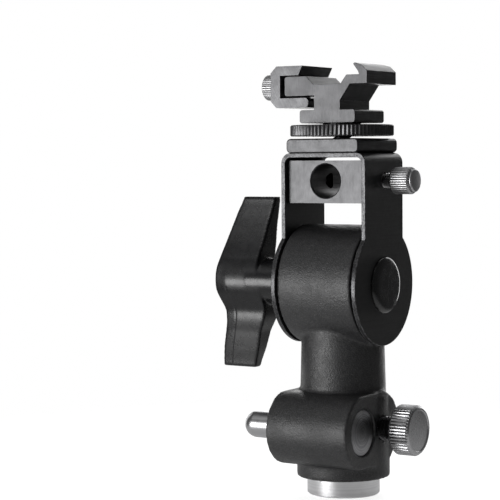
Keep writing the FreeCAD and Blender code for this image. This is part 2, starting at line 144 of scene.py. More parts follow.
def cast_grain_group():
    """Fine pebbled skin of a coated casting over broad, soft unevenness. Grain is in millimetres."""
    tree, given, out = new_group("cast_grain", {"Grain": 0.5}, ("Height", "Mottle", "Pebble tops"))
    scale = calc(tree, "DIVIDE", 1.0 / MM, given["Grain"])
    pebbles = noise(tree, given["Vector"], scale, 3.0, 0.6)
    cells = add_node(tree, "TexVoronoi", {"feature": "SMOOTH_F1"}, Vector=given["Vector"],
                     Scale=calc(tree, "MULTIPLY", scale, 0.7), Smoothness=0.6).outputs["Distance"]
    waves = noise(tree, given["Vector"], calc(tree, "MULTIPLY", scale, 0.08), 2.0)
    fine = calc(tree, "ADD", calc(tree, "MULTIPLY", pebbles, 0.6), calc(tree, "MULTIPLY", cells, 0.5))
    feed(tree, out["Height"], calc(tree, "ADD", fine, calc(tree, "MULTIPLY", waves, 0.35)))
    patches = noise(tree, given["Vector"], calc(tree, "MULTIPLY", scale, 0.2), 4.0, 0.65)
    feed(tree, out["Mottle"], remap(tree, patches, 0.3, 0.7))
    # Mask of the pebbles' tops, where cast_black paints its painted highlights.
    feed(tree, out["Pebble tops"], remap(tree, pebbles, 0.5, 0.68))
    return tree


def sawn_grain_group():
    """Saw streaks up the cut ends (faces that look along Y) and drawing lines along Y on all other faces."""
    tree, given, out = new_group("sawn_grain", {"Streaks per mm": 3.0, "Wander": 0.35, "Slant": 0.0},
                                 ("Height", "Streak", "Cut face"))
    density = calc(tree, "MULTIPLY", given["Streaks per mm"], 1.0 / MM)
    spot = add_node(tree, "SeparateXYZ", None, Vector=given["Vector"]).outputs
    facing = add_node(tree, "TexCoord").outputs["Normal"]
    normal = add_node(tree, "SeparateXYZ", None, Vector=facing).outputs
    cut_face = remap(tree, calc(tree, "ABSOLUTE", normal["Y"]), 0.6, 0.8)
    wander = calc(tree, "MULTIPLY", given["Wander"], MM)
    drift = calc(tree, "MULTIPLY", noise(tree, given["Vector"], 0.15 / MM), wander)
    slant = calc(tree, "MULTIPLY", spot["Z"], given["Slant"])
    across = calc(tree, "ADD", calc(tree, "ADD", spot["X"], drift), slant)
    upward = calc(tree, "MULTIPLY", spot["Z"], 0.06)
    sawn = add_node(tree, "CombineXYZ", None, X=across, Y=spot["Y"], Z=upward)
    along = calc(tree, "MULTIPLY", spot["Y"], 0.03)
    drawn = add_node(tree, "CombineXYZ", None, X=spot["X"], Y=along, Z=spot["Z"])
    cut_lines = noise(tree, sawn.outputs[0], density, 4.0, 0.7)
    draw_lines = noise(tree, drawn.outputs[0], density, 2.0, 0.5)
    mixed = add_node(tree, "Mix", {"data_type": "FLOAT"})
    feed(tree, mixed.inputs["Factor"], cut_face)
    feed(tree, mixed.inputs["A"], draw_lines)
    feed(tree, mixed.inputs["B"], cut_lines)
    feed(tree, out["Height"], mixed.outputs["Result"])
    feed(tree, out["Streak"], remap(tree, mixed.outputs["Result"], 0.3, 0.7))
    feed(tree, out["Cut face"], cut_face)
    return tree


def turning_group():
    """Tool marks round an axis that has been brought onto Z, on ends and on sides alike."""
    tree, given, out = new_group("turning_marks", {"Marks per mm": 6.0}, ("Height", "Streak"))
    spot = add_node(tree, "SeparateXYZ", None, Vector=given["Vector"]).outputs
    radius = calc(tree, "SQRT", calc(tree, "ADD", calc(tree, "MULTIPLY", spot["X"], spot["X"]),
                                     calc(tree, "MULTIPLY", spot["Y"], spot["Y"])))
    angle = calc(tree, "MULTIPLY", calc(tree, "ARCTAN2", spot["Y"], spot["X"]), 0.05 * MM)
    rolled = add_node(tree, "CombineXYZ", None, X=radius, Y=angle, Z=spot["Z"]).outputs[0]
    lines = noise(tree, rolled, calc(tree, "MULTIPLY", given["Marks per mm"], 1.0 / MM), 3.0, 0.65)
    feed(tree, out["Height"], lines)
    feed(tree, out["Streak"], remap(tree, lines, 0.3, 0.7))
    return tree


def edge_wear_group():
    """Broken rubbing along machined edges, whose bevel faces carry the attribute rim."""
    tree, given, out = new_group("edge_wear", {"Amount": 0.5}, ("Wear",))
    rim = add_node(tree, "Attribute", {"attribute_name": "rim"}).outputs["Fac"]
    patches = remap(tree, noise(tree, given["Vector"], 0.9 / MM, 3.0, 0.6), 0.42, 0.62)
    broken = calc(tree, "MULTIPLY", rim, patches)
    feed(tree, out["Wear"], calc(tree, "MULTIPLY", broken, given["Amount"], clamp=True))
    return tree


def rubbed_group():
    """Rubbing on the raised corners of a cast or moulded skin."""
    tree, given, out = new_group("rubbed_corners", {"Amount": 0.5}, ("Wear",))
    corner = remap(tree, add_node(tree, "NewGeometry").outputs["Pointiness"], 0.515, 0.56)
    patches = remap(tree, noise(tree, given["Vector"], 0.6 / MM, 4.0, 0.6), 0.4, 0.7)
    broken = calc(tree, "MULTIPLY", corner, patches)
    feed(tree, out["Wear"], calc(tree, "MULTIPLY", broken, given["Amount"], clamp=True))
    return tree


def handling_group():
    """Soft patches of dust and finger haze."""
    tree, given, out = new_group("handling", {"Patch": 6.0}, ("Haze",))
    scale = calc(tree, "DIVIDE", 1.0 / MM, given["Patch"])
    broad = noise(tree, given["Vector"], scale, 4.0, 0.6)
    specks = remap(tree, noise(tree, given["Vector"], 3.0 / MM, 1.0), 0.62, 0.72)
    film = remap(tree, broad, 0.35, 0.7)
    feed(tree, out["Haze"], calc(tree, "ADD", film, calc(tree, "MULTIPLY", specks, 0.4), clamp=True))
    return tree


CAST_GRAIN = cast_grain_group()
SAWN_GRAIN = sawn_grain_group()
TURNING = turning_group()
EDGE_WEAR = edge_wear_group()
RUBBED = rubbed_group()
HANDLING = handling_group()


class Finish:
    """A material under construction: its node tree, its shader and the object's own coordinates."""

    def __init__(self, name, **fixed):
        self.material = bpy.data.materials.new(name)
        self.material.use_nodes = True
        self.tree = self.material.node_tree
        self.shader = self.tree.nodes["Principled BSDF"]
        self.spot = add_node(self.tree, "TexCoord").outputs["Object"]
        for label, value in fixed.items():
            self.shader.inputs[label.replace("_", " ")].default_value = value

    def effect(self, group, vector=None, **settings):
        """Place a shared group with this material's own settings."""
        made = add_node(self.tree, "Group", {"node_tree": group})
        feed(self.tree, made.inputs["Vector"], vector or self.spot)
        for label, value in settings.items():
            made.inputs[label.replace("_", " ")].default_value = value
        return made.outputs

    def on_axis(self, axis, centre):
        """Coordinates with a piece's own axis brought onto Z."""
        moved = add_node(self.tree, "Mapping", {"vector_type": "TEXTURE"}, Vector=self.spot)
        moved.inputs["Location"].default_value = Vector(centre) * MM
        moved.inputs["Rotation"].default_value = LAID_ALONG[axis].to_euler()
        return moved.outputs[0]

    def tint(self, dark, light, *masks):
        """Base colour from dark to light by the first mask, then on to each further (mask, colour)."""
        first, *others = masks
        colour = self.blend(first, dark, light)
        for mask, shade in others:
            colour = self.blend(mask, colour, shade)
        self.tree.links.new(colour, self.shader.inputs["Base Color"])

    def blend(self, mask, first, second):
        """Mix of two colours, each a plain colour or a socket."""
        made = add_node(self.tree, "Mix", {"data_type": "RGBA"})
        feed(self.tree, made.inputs[0], mask)
        for socket, value in ((made.inputs[6], first), (made.inputs[7], second)):
            feed(self.tree, socket, value if isinstance(value, bpy.types.NodeSocket) else (*value, 1))
        return made.outputs[2]

    def rough(self, mask, low, high):
        """Roughness from low to high by a mask."""
        self.tree.links.new(remap(self.tree, mask, 0.0, 1.0, low, high), self.shader.inputs["Roughness"])

    def bump(self, height, depth, under=None):
        """Bump whose full height is depth millimetres, on top of another bump if one is given."""
        made = add_node(self.tree, "Bump", None, Height=height, Distance=depth * MM, Strength=1.0)
        if under:
            self.tree.links.new(under, made.inputs["Normal"])
        self.tree.links.new(made.outputs[0], self.shader.inputs["Normal"])
        return made.outputs[0]


# ---------------------------------------------------------------- materials

def cast_black():
    finish = Finish("cast_black", Specular_IOR_Level=0.7)
    grain = finish.effect(CAST_GRAIN, Grain=0.3)
    wear = finish.effect(RUBBED, Amount=0.35)
    haze = finish.effect(HANDLING, Patch=9.0)
    # Painted highlight: the tops of the pebbled skin are painted lighter.
    grain_highlight = calc(finish.tree, "MULTIPLY", grain["Pebble tops"], 0.8)
    finish.tint((0.012, 0.012, 0.013), (0.026, 0.026, 0.027), grain["Mottle"], (grain_highlight, (0.085, 0.085, 0.086)),
                (wear["Wear"], (0.16, 0.16, 0.165)))
    finish.rough(haze["Haze"], 0.40, 0.52)
    finish.bump(grain["Height"], 0.14)
    return finish.material


def black_anodised(name, streaks=3.0, slant=0.0, depth=0.03, lift=1.0):
    """Streaks are per millimetre, depth is the bump's in millimetres and lift brightens the black."""
    finish = Finish(name, Metallic=0.85)
    grain = finish.effect(SAWN_GRAIN, Streaks_per_mm=streaks, Slant=slant)
    blotch = finish.effect(CAST_GRAIN, Grain=0.9)
    wear = finish.effect(EDGE_WEAR, Amount=0.4)
    dark, light = ((tone * lift, tone * lift, tone * lift * 1.03) for tone in (0.06, 0.11))
    stain = calc(finish.tree, "MULTIPLY", blotch["Mottle"], 0.45)
    finish.tint(dark, light, grain["Streak"], (stain, tuple(tone * 0.5 for tone in dark)),
                (wear["Wear"], (0.3, 0.3, 0.31)))
    finish.rough(grain["Streak"], 0.28, 0.4)
    finish.bump(grain["Height"], depth)
    return finish.material


def black_strip():
    finish = Finish("black_strip", Specular_IOR_Level=0.6)
    grain = finish.effect(SAWN_GRAIN, Streaks_per_mm=2.2)
    skin = finish.effect(CAST_GRAIN, Grain=0.35)
    wear = finish.effect(EDGE_WEAR, Amount=0.55)
    # Cut faces painted lighter: partly bare punched steel, partly a painted highlight on the faces that look
    # along Y.
    torn = noise(finish.tree, finish.spot, 2.2 / MM, 2.0, 0.7)
    punched_and_painted_light = calc(finish.tree, "MULTIPLY", grain["Cut face"], remap(finish.tree, torn, 0.35, 0.6, 0.15, 1.0))
    finish.tint((0.016, 0.016, 0.017), (0.026, 0.026, 0.027), skin["Mottle"], (punched_and_painted_light, (0.1, 0.1, 0.103)),
                (wear["Wear"], (0.3, 0.3, 0.31)))
    metallic = remap(finish.tree, grain["Cut face"], 0.0, 1.0, 0.0, 0.8)
    finish.tree.links.new(metallic, finish.shader.inputs["Metallic"])
    finish.rough(grain["Streak"], 0.32, 0.42)
    under = finish.bump(skin["Height"], 0.012)
    finish.bump(grain["Height"], 0.01, under=under)
    return finish.material


def turned_metal(name, axis, centre, colours, roughness, marks=6.0, depth=0.006):
    """Metal with tool marks round an axis through a centre, and painted shade darkening the grooves of a
    knurl.
    """
    finish = Finish(name, Metallic=1.0)
    turning = finish.effect(TURNING, finish.on_axis(axis, centre), Marks_per_mm=marks)
    haze = finish.effect(HANDLING, Patch=4.0)
    groove = add_node(finish.tree, "Attribute", {"attribute_name": "groove"}).outputs["Fac"]
    # Painted shade: the grooves of a knurl are painted nearly black.
    groove_shade = remap(finish.tree, groove, 0.3, 0.95)
    finish.tint(*colours, turning["Streak"], (groove_shade, tuple(tone * 0.18 for tone in colours[0])))
    finish.rough(haze["Haze"], *roughness)
    finish.bump(turning["Height"], depth)
    return finish.material


def black_nylon():
    finish = Finish("black_nylon", Specular_IOR_Level=0.55)
    grain = finish.effect(CAST_GRAIN, Grain=0.28)
    wear = finish.effect(RUBBED, Amount=0.04)
    haze = finish.effect(HANDLING, Patch=2.5)
    finish.tint((0.008, 0.008, 0.009), (0.012, 0.012, 0.013), grain["Mottle"],
                (wear["Wear"], (0.06, 0.06, 0.06)))
    finish.rough(haze["Haze"], 0.27, 0.3)
    finish.bump(grain["Height"], 0.012)
    return finish.material


def gloss_cap():
    finish = Finish("gloss_cap", Roughness=0.2, Coat_Weight=0.5, Coat_Roughness=0.08)
    haze = finish.effect(HANDLING, Patch=3.0)
    grain = finish.effect(CAST_GRAIN, Grain=0.6)
    finish.tint((0.008, 0.008, 0.009), (0.014, 0.014, 0.015), grain["Mottle"])
    finish.rough(haze["Haze"], 0.16, 0.3)
    finish.bump(grain["Height"], 0.004)
    return finish.material


def friction_fibre():
    finish = Finish("friction_fibre", Specular_IOR_Level=0.3)
    grain = finish.effect(CAST_GRAIN, Grain=0.3)
    finish.tint((0.02, 0.018, 0.016), (0.07, 0.062, 0.055), grain["Mottle"])
    finish.rough(grain["Mottle"], 0.7, 0.9)
    finish.bump(grain["Height"], 0.04)
    return finish.material


# ---------------------------------------------------------------- modelling helpers

SAME_CORNER = 0.004     # millimetres between CAD corners that are one corner
SAME_FACE = math.radians(0.6)
STEPS_PER_TOOTH = 6

# Outer radius and pitch of each thread, in millimetres.
M8 = (4.0, 1.25)
M5 = (2.5, 0.8)
M4 = (2.0, 0.7)
QUARTER_INCH = (3.175, 1.27)


def extent(node):
    """Lowest and highest corner of a CAD node, in millimetres."""
    return tuple(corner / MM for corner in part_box(node))


def centre_of(node):
    low, high = extent(node)
    return (low + high) / 2


def radius_of(node):
    """Radius of a CAD node that is round about X."""
    low, high = extent(node)
    return (high.z - low.z) / 2


def axis_of(node):
    """Matrix that lays a piece modelled about Z along the X axis through a CAD node."""
    middle = centre_of(node)
    middle.x = 0
    return Matrix.Translation(middle) @ LAID_ALONG["X"]


def quarter_turn(steps):
    """Angles from 0 to 90 degrees in equal steps, both ends included."""
    return [math.pi / 2 * step / steps for step in range(steps + 1)]


def spin_outline(outline, steps=96):
    """Solid or ring of (radius, station) corners turned about Z. A solid's outline starts and ends on Z."""
    mesh = bmesh.new()
    corners = [mesh.verts.new((radius, 0, station)) for radius, station in outline]
    hollow = outline[0][0] > 0
    ends = corners[1:] + corners[:1] if hollow else corners[1:]
    edges = [mesh.edges.new(pair) for pair in zip(corners, ends)]
    bmesh.ops.spin(mesh, geom=corners + edges, cent=(0, 0, 0), axis=(0, 0, 1), angle=math.tau, steps=steps,
                   use_merge=True)
    bmesh.ops.remove_doubles(mesh, verts=mesh.verts, dist=1e-4)
    bmesh.ops.recalc_face_normals(mesh, faces=mesh.faces)
    return mesh


def soften(mesh, width, segments=2, sharper_than=32, worn=1.0):
    """Round every edge that turns sharply, and mark the new faces as rim, as worn as asked."""
    rim = mesh.faces.layers.float.get("rim") or mesh.faces.layers.float.new("rim")
    sharp = [edge for edge in mesh.edges
             if len(edge.link_faces) == 2 and edge.calc_face_angle() > math.radians(sharper_than)]
    made = bmesh.ops.bevel(mesh, geom=sharp, offset=width, offset_type="OFFSET", segments=segments,
                           profile=0.5, affect="EDGES", material=-1, clamp_overlap=True)
    for face in made["faces"]:
        face[rim] = worn
    return mesh


def turned(outline, lay, width=0.0, steps=96):
    """An outline turned about Z and laid in place, its edges rounded if a width is given."""
    mesh = spin_outline(outline, steps)
    if width:
        soften(mesh, width)
    mesh.transform(lay)
    return mesh


def press_knurl(mesh, radius, teeth, depth, narrow=1):
    """Press straight grooves into a rim turned about Z and mark them as groove. Narrow above 1 thins them."""
    groove = mesh.verts.layers.float.new("groove")
    for vertex in mesh.verts:
        reach = math.hypot(vertex.co.x, vertex.co.y)
        if reach > radius - depth / 2:
            valley = ((1 - math.cos(teeth * math.atan2(vertex.co.y, vertex.co.x))) / 2) ** narrow
            vertex[groove] = valley
            shrink = (radius - depth * valley) / reach
            vertex.co.x *= shrink
            vertex.co.y *= shrink


def knurled(node, bevel, teeth, depth, button=0.0, recess=0.0, narrow=1):
    """A knurled head for a CAD knob, short of its end by a button's length, or with a sunk end face."""
    low, high = extent(node)
    radius, start, end = radius_of(node), low.x, high.x - button
    flat = radius - bevel
    outline = [(0, start), (flat, start), (radius - depth, start + depth), (radius, start + bevel),
               (radius, end - bevel), (radius - depth, end - depth), (flat, end)]
    if recess:
        outline += [(flat - 2 * recess, end), (flat - 3 * recess, end - recess), (0, end - recess)]
    else:
        outline.append((0, end))
    mesh = spin_outline(outline, teeth * STEPS_PER_TOOTH)
    press_knurl(mesh, radius, teeth, depth, narrow)
    mesh.transform(axis_of(node))
    return mesh


def threaded(size, start, end, lay, steps=40):
    """A right-hand thread: a zigzag swept once round as it climbs one pitch, cut square at both ends."""
    radius, pitch = size
    root = radius - 0.6 * pitch
    # Corners of one turn: share of the pitch, and reach.
    flank = ((0.0, root), (0.12, root), (0.44, radius), (0.56, radius))
    spare = 2
    turns = math.ceil((end - start) / pitch) + spare + 1
    mesh = bmesh.new()
    corners = [mesh.verts.new((reach, 0, start + (turn - spare + share) * pitch))
               for turn in range(turns) for share, reach in flank]
    corners.append(mesh.verts.new((root, 0, start + (turns - spare) * pitch)))
    edges = [mesh.edges.new(pair) for pair in zip(corners, corners[1:])]
    bmesh.ops.spin(mesh, geom=corners + edges, cent=(0, 0, 0), axis=(0, 0, 1), dvec=(0, 0, pitch / steps),
                   angle=math.tau, steps=steps, use_merge=False)
    bmesh.ops.remove_doubles(mesh, verts=mesh.verts, dist=1e-3)
    for height, outward in ((start, -1), (end, 1)):
        cut = bmesh.ops.bisect_plane(mesh, geom=mesh.verts[:] + mesh.edges[:] + mesh.faces[:], dist=1e-5,
                                     plane_co=(0, 0, height), plane_no=(0, 0, outward), clear_outer=True)
        rim = [item for item in cut["geom_cut"] if isinstance(item, bmesh.types.BMEdge)]
        bmesh.ops.edgeloop_fill(mesh, edges=rim)
    bmesh.ops.recalc_face_normals(mesh, faces=mesh.faces)
    mesh.transform(lay)
    return mesh


def join(*meshes):
    """Several closed shells as one bmesh."""
    whole = meshes[0]
    for mesh in meshes[1:]:
        data = bpy.data.meshes.new("joined")
        mesh.to_mesh(data)
        mesh.free()
        whole.from_mesh(data)
        bpy.data.meshes.remove(data)
    return whole


def cad_mesh(node):
    """A CAD node's mesh in millimetres, with each corner there once."""
    mesh = bmesh.new()
    mesh.from_mesh(nodes[node].data)
    bmesh.ops.scale(mesh, vec=(1 / MM,) * 3, verts=mesh.verts)
    bmesh.ops.remove_doubles(mesh, verts=mesh.verts, dist=SAME_CORNER)
    return mesh


def cad_copy(node):
    """A CAD node's mesh with its triangles merged into clean faces."""
    mesh = cad_mesh(node)
    bmesh.ops.dissolve_limit(mesh, angle_limit=SAME_FACE, verts=mesh.verts, edges=mesh.edges)
    return mesh


def temporary(mesh):
    """A short-lived object for modifiers to work on. The bmesh is used up."""
    data = bpy.data.meshes.new("temporary")
    mesh.to_mesh(data)
    mesh.free()
    item = bpy.data.objects.new("temporary", data)
    bpy.context.scene.collection.objects.link(item)
    return item


def through(item):
    """The object's mesh with its modifiers applied, as a bmesh. The object is used up."""
    shown = item.evaluated_get(bpy.context.evaluated_depsgraph_get())
    data = bpy.data.meshes.new_from_object(shown)
    mesh = bmesh.new()
    mesh.from_mesh(data)
    bpy.data.objects.remove(item)
    bpy.data.meshes.remove(data)
    return mesh


def relaxed(mesh, voxel, passes):
    """Grow one even skin over the shells and let it relax, so that corners and roots take a cast radius."""
    item = temporary(mesh)
    skin = item.modifiers.new("skin", "REMESH")
    skin.mode = "VOXEL"
    skin.voxel_size = voxel
    calm = item.modifiers.new("calm", "SMOOTH")
    calm.factor = 0.5
    calm.iterations = passes
    return through(item)


def carved(mesh, cutter):
    """The mesh with another shell cut out of it."""
    item = temporary(mesh)
    tool = temporary(cutter)
    bite = item.modifiers.new("bite", "BOOLEAN")
    bite.object = tool
    bite.solver = "EXACT"
    bpy.context.view_layer.update()
    left = through(item)
    bpy.data.objects.remove(tool)
    bmesh.ops.remove_doubles(left, verts=left.verts, dist=1e-3)
    return left


def box_mesh(low, high):
    mesh = bmesh.new()
    bmesh.ops.create_cube(mesh, size=1)
    bmesh.ops.scale(mesh, vec=high - low, verts=mesh.verts)
    bmesh.ops.translate(mesh, vec=(low + high) / 2, verts=mesh.verts)
    return mesh


def finish_piece(name, mesh, material, *stands_for, smooth=34, weighted=True):
    """Turn a bmesh in millimetres into a shown piece that rides with the CAD nodes it stands for."""
    bmesh.ops.scale(mesh, vec=(MM,) * 3, verts=mesh.verts)
    data = bpy.data.meshes.new(name)
    mesh.to_mesh(data)
    mesh.free()
    data.materials.append(material)
    data.shade_smooth()
    data.set_sharp_from_angle(angle=math.radians(smooth))
    piece = bpy.data.objects.new(name, data)
    bpy.context.scene.collection.objects.link(piece)
    if weighted:
        even = piece.modifiers.new("even_normals", "WEIGHTED_NORMAL")
        even.keep_sharp = True
    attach(piece, nodes[stands_for[0]]["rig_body"])
    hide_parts(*stands_for)
    return piece


def machined(name, node, material, width):
    """A CAD shape with its edges broken."""
    finish_piece(name, soften(cad_copy(node), width), material, node)


# ---------------------------------------------------------------- housing and socket

def housing(material):
    mesh = relaxed(cad_copy("housing_casting"), voxel=0.5, passes=7)
    finish_piece("housing_shell", mesh, material, "housing_casting", smooth=60, weighted=False)


def socket_bush(material):
    """Close guide at the mouth, and a wider relief above it."""
    low, high = extent("socket_bush")
    bore, relief, guide, bevel = 8.1, 8.35, 15.5, 0.5
    outline = [(bore + bevel, low.z), (high.x - bevel, low.z), (high.x, low.z + bevel), (high.x, high.z),
               (relief, high.z), (relief, guide + relief - bore), (bore, guide), (bore, low.z + bevel)]
    mesh = turned(outline, LAID_ALONG["Z"], steps=128)
    finish_piece("socket_bush_turned", mesh, material, "socket_bush")


def safety_catch(pin_material, plug_material):
    """Round-nosed pin with a collar and a body bored for the spring, and the plug behind it."""
    low, high = extent("catch_plunger")
    pin, body = 4.45, radius_of("catch_plunger")
    stop, collar, waist = -12.5, 1.3, -2.8
    bore, bore_end = body - 1.8, waist + 1.6
    nose = [(pin * math.sin(turn), low.x + pin * (1 - math.cos(turn))) for turn in quarter_turn(12)]
    outline = nose + [(pin, stop), (body, stop), (body, stop + collar), (pin, stop + collar), (pin, waist),
                      (body, waist), (body, high.x), (bore, high.x), (bore, bore_end), (0, bore_end)]
    mesh = turned(outline, axis_of("catch_plunger"), width=0.12)
    finish_piece("catch_pin_polished", mesh, pin_material, "catch_plunger")
    low, high = extent("catch_plug")
    radius, bevel, dish = radius_of("catch_plug"), 0.3, 0.02
    outline = [(0, low.x), (radius, low.x), (radius, high.x - bevel), (radius - bevel, high.x),
               (0, high.x - dish)]
    finish_piece("catch_plug_turned", turned(outline, axis_of("catch_plug")), plug_material, "catch_plug")


def catch_spring(material):
    """The spring's coil as the CAD gives it, on a mesh of its own."""
    coil = finish_piece("catch_spring_coil", cad_mesh("catch_spring"), material, "catch_spring",
                        smooth=50, weighted=False)
    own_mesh(coil)


def stand_lock(screw_material, knob_material):
    tip, shoulder = extent("lock_screw")[0].x, extent("lock_knob")[0].x
    screw = threaded(M8, tip, shoulder, axis_of("lock_screw"))
    finish_piece("stand_lock_screw", screw, screw_material, "lock_screw")
    head = knurled("lock_knob", bevel=0.9, teeth=48, depth=0.4, recess=0.25, narrow=2)
    finish_piece("stand_lock_head", head, knob_material, "lock_knob", smooth=28, weighted=False)


# ---------------------------------------------------------------- tilt joint

def tilt_joint(gloss, fibre, steel):
    """Cap with a rounded rim and a nearly flat crown, friction discs, pivot bolt and lever washer."""
    low, high = extent("pivot_cap")
    radius, crown = radius_of("pivot_cap"), 0.12
    wide, tall = 2.9, high.x - low.x - 0.35
    rim = [(radius - wide + wide * math.cos(turn), high.x - crown - tall + tall * math.sin(turn))
           for turn in quarter_turn(10)]
    outline = [(0, low.x), (radius, low.x)] + rim + [(radius * 0.35, high.x - crown * 0.25), (0, high.x)]
    finish_piece("pivot_cap_domed", turned(outline, axis_of("pivot_cap")), gloss, "pivot_cap", smooth=50)
    for side in ("left", "right"):
        node = f"friction_washer_{side}"
        machined(f"friction_disc_{side}", node, fibre, width=0.08)
    bolt = soften(cad_copy("pivot_bolt"), width=0.15)
    lay = axis_of("pivot_bolt")
    slimmer = 0.965     # clear of the housing, whose relaxed skin narrows the bore
    bolt.transform(lay @ Matrix.Diagonal((slimmer, slimmer, 1, 1)) @ lay.inverted())
    finish_piece("pivot_bolt_turned", bolt, steel, "pivot_bolt")
    machined("lever_thrust_washer", "lever_washer", steel, width=0.12)


LEVER_STATIONS = [
    # height above the pivot, outer reach, inner reach, half thickness
    (-29.8, 46.7, 33.4, 1.9), (-23.0, 46.0, 31.5, 2.85), (-17.0, 44.7, 30.1, 3.7), (-13.0, 44.0, 28.4, 4.35),
    (-9.8, 44.3, 27.8, 4.65), (-6.5, 45.6, 28.0, 5.8), (-3.5, 46.5, 28.6, 7.1), (0.0, 46.75, 29.2, 7.6),
    (4.0, 46.5, 29.6, 6.9), (7.7, 45.5, 29.6, 5.9), (13.0, 43.8, 28.3, 4.6), (18.4, 41.9, 27.2, 3.5),
    (23.6, 40.0, 25.9, 2.6), (28.9, 37.8, 24.9, 1.9),
]


def smooth_station(height):
    """Lever sizes at a height, on a smooth curve through the stations."""
    last = len(LEVER_STATIONS) - 1
    below = max(index for index in range(last) if LEVER_STATIONS[index][0] <= height + 1e-6)
    around = [LEVER_STATIONS[min(max(below + shift, 0), last)] for shift in (-1, 0, 1, 2)]
    share = (height - around[1][0]) / (around[2][0] - around[1][0])

    def between(a, b, c, d):
        """Catmull-Rom curve from b to c."""
        return b + 0.5 * share * (c - a + share * (2 * a - 5 * b + 4 * c - d + share * (3 * (b - c) + d - a)))

    return [between(*column) for column in zip(*(station[1:] for station in around))]


def lever(nylon, brass):
    """Six-sided wings that swell at the hub, under one relaxed skin, with a fine seam down the lower wing."""
    insert_low, insert_high = extent("lever_insert")
    pivot = (insert_low.z + insert_high.z) / 2
    lowest, highest = LEVER_STATIONS[0][0], LEVER_STATIONS[-1][0]
    rows, facet = 66, 0.27
    heights = [lowest + (highest - lowest) * row / rows for row in range(rows + 1)]
    thin, fuller, rise = 0.9, 0.08, 6
    mesh = bmesh.new()
    ring = bmesh.ops.create_circle(mesh, cap_ends=True, segments=6, radius=1)["verts"]
    section = mesh.faces[:][0]
    ridges = []
    for row, height in enumerate(heights):
        if row:
            made = bmesh.ops.extrude_face_region(mesh, geom=[section])
            section = next(item for item in made["geom"] if isinstance(item, bmesh.types.BMFace))
            ring = [loop.vert for loop in section.loops]
        outer, inner, half = smooth_station(height)
        line = outer - facet * (outer - inner)
        edge = half * (thin + fuller * min(max(height, 0) / rise, 1))
        spots = [(-inner, half), (-line, half), (-outer, edge),
                 (-outer, -edge), (-line, -half), (-inner, -half)]
        for vertex, (x, y) in zip(ring, spots):
            vertex.co = (x, y, pivot + height)
        ridges.append((-line, half))
    bmesh.ops.recalc_face_normals(mesh, faces=mesh.faces)
    hub_end, hub, seat = -34.0, 7.7, 6.0
    hub_start = extent("lever_handle")[1].x
    outline = [(seat, hub_end), (hub, hub_end), (hub, hub_start), (seat, hub_start)]
    mesh = relaxed(join(mesh, turned(outline, axis_of("lever_insert"))), voxel=0.28, passes=34)
    seam, seam_depth, seam_top, flank = 0.45, 0.14, pivot - 2, 0.6
    bottom = pivot + heights[0]
    spacing = (pivot + heights[1]) - bottom
    for vertex in mesh.verts:
        x, y, z = vertex.co
        line, half = ridges[min(max(round((z - bottom) / spacing), 0), rows)]
        near = abs(x - line)
        if near < seam and abs(y) > half * flank and z < seam_top:
            vertex.co.y -= math.copysign(seam_depth * (1 - near / seam), y)
    finish_piece("lever_moulded", mesh, nylon, "lever_handle", smooth=60, weighted=False)
    machined("lever_brass_insert", "lever_insert", brass, width=0.2)


# ---------------------------------------------------------------- yoke, umbrella block and shoe

def base_plate(material):
    """Plate with generously rounded edges, bored for the stud."""
    low, high = extent("base_plate")
    bore, past, rounding = 3.3, 1, 1.5
    plate = box_mesh(low, high)
    lengthwise = [edge for edge in plate.edges if abs((edge.verts[0].co - edge.verts[1].co).y) > 1]
    bmesh.ops.bevel(plate, geom=lengthwise, offset=rounding, offset_type="OFFSET", segments=6, profile=0.5,
                    affect="EDGES", material=-1)
    soften(plate, width=0.5, segments=4, sharper_than=40, worn=0.1)
    outline = [(0, low.z - past), (bore, low.z - past), (bore, high.z + past), (0, high.z + past)]
    hole = turned(outline, LAID_ALONG["Z"])
    finish_piece("base_plate_machined", carved(plate, hole), material, "base_plate")


def umbrella_lock(screw_material, knob_material):
    """Screw, narrow-grooved grip and the smooth button on the grip's outer end."""
    tip, shoulder = extent("umbrella_screw")[0].x, extent("umbrella_knob")[0].x
    screw = threaded(M5, tip, shoulder, axis_of("umbrella_screw"))
    finish_piece("umbrella_lock_screw", screw, screw_material, "umbrella_screw")
    button, button_long, neck, sunk = 3.75, 1.2, 3.25, 0.6
    neck_end, underside, bevel, bevel_long, dome = 0.25, 0.4, 0.4, 0.45, 0.08
    end = extent("umbrella_knob")[1].x
    grip_end = end - button_long
    grip = knurled("umbrella_knob", bevel=0.45, teeth=32, depth=0.2, button=button_long, narrow=4)
    outline = [(0, grip_end - sunk), (neck, grip_end - sunk), (neck, grip_end + neck_end),
               (button, grip_end + underside), (button, end - bevel_long), (button - bevel, end - dome),
               (0, end)]
    whole = join(grip, turned(outline, axis_of("umbrella_knob"), width=0.08))
    finish_piece("umbrella_lock_head", whole, knob_material, "umbrella_knob", smooth=28, weighted=False)


def jaw_thumbscrew(material):
    shoulder, tip = extent("jaw_knob")[1].x, extent("jaw_screw")[1].x
    screw = threaded(M4, shoulder, tip, axis_of("jaw_screw"))
    finish_piece("jaw_thumbscrew_thread", screw, material, "jaw_screw")
    head = knurled("jaw_knob", bevel=0.45, teeth=36, depth=0.2, narrow=4)
    finish_piece("jaw_thumbscrew_head", head, material, "jaw_knob", smooth=28, weighted=False)


def lock_ring(material):
    low, high = extent("knurled_ring")
    radius, bore, bevel, slope = high.x, 3.3, 0.35, 0.02
    teeth, depth = 80, 0.4
    outline = [(bore, low.z), (radius - bevel, low.z), (radius - depth, low.z + slope),
               (radius, low.z + bevel), (radius, high.z - bevel), (radius - depth, high.z - slope),
               (radius - bevel, high.z), (bore, high.z)]
    mesh = spin_outline(outline, teeth * STEPS_PER_TOOTH)
    press_knurl(mesh, radius, teeth, depth)
    finish_piece("lock_ring_knurled", mesh, material, "knurled_ring", smooth=28, weighted=False)


